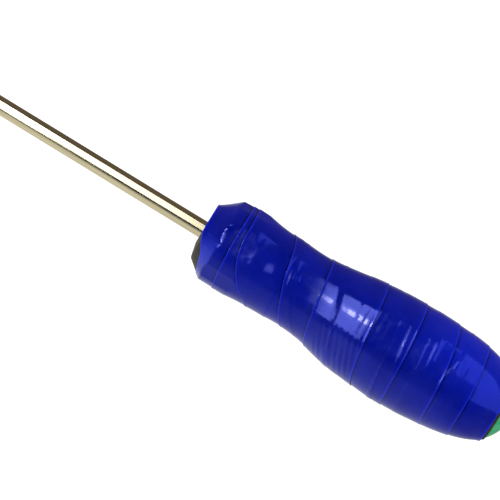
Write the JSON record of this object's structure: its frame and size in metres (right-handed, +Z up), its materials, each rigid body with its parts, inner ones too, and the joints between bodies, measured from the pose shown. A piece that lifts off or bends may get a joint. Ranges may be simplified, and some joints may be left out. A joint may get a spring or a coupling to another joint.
{
  "type": "slotted screwdriver",
  "caption": "Slotted screwdriver with a round steel blade and a bulbous moulded handle wrapped in overlapping turns of glossy PVC tape.",
  "frame": {"origin": "under the middle of the tool's length, at the lowest point of the belly", "axes": "+X along the tool from the tip to the butt, +Z up, a flat of the collar facing down, +Y to the side"},
  "size_m": [0.219, 0.0356, 0.0356],
  "materials": {
    "plated_steel": "nickel plated, drawn along the bar, bright",
    "hard_plastic": "moulded, satin gloss",
    "grip_rubber": "matt moulded, fine spark texture",
    "pvc_tape": "glossy calendered PVC, stretched"
  },
  "bodies": {
    "root": {"blade": "plated_steel", "handle_core": "hard_plastic", "grip_sleeve": "grip_rubber", "end_cap": "hard_plastic", "tape_rear_turn_1": "pvc_tape", "tape_rear_turn_2": "pvc_tape", "tape_rear_turn_3": "pvc_tape", "tape_rear_turn_4": "pvc_tape", "tape_rear_turn_5": "pvc_tape", "tape_front_turn_1": "pvc_tape", "tape_front_turn_2": "pvc_tape", "tape_front_turn_3": "pvc_tape", "tape_front_turn_4": "pvc_tape", "tape_front_turn_5": "pvc_tape"}
  },
  "joints": []
}
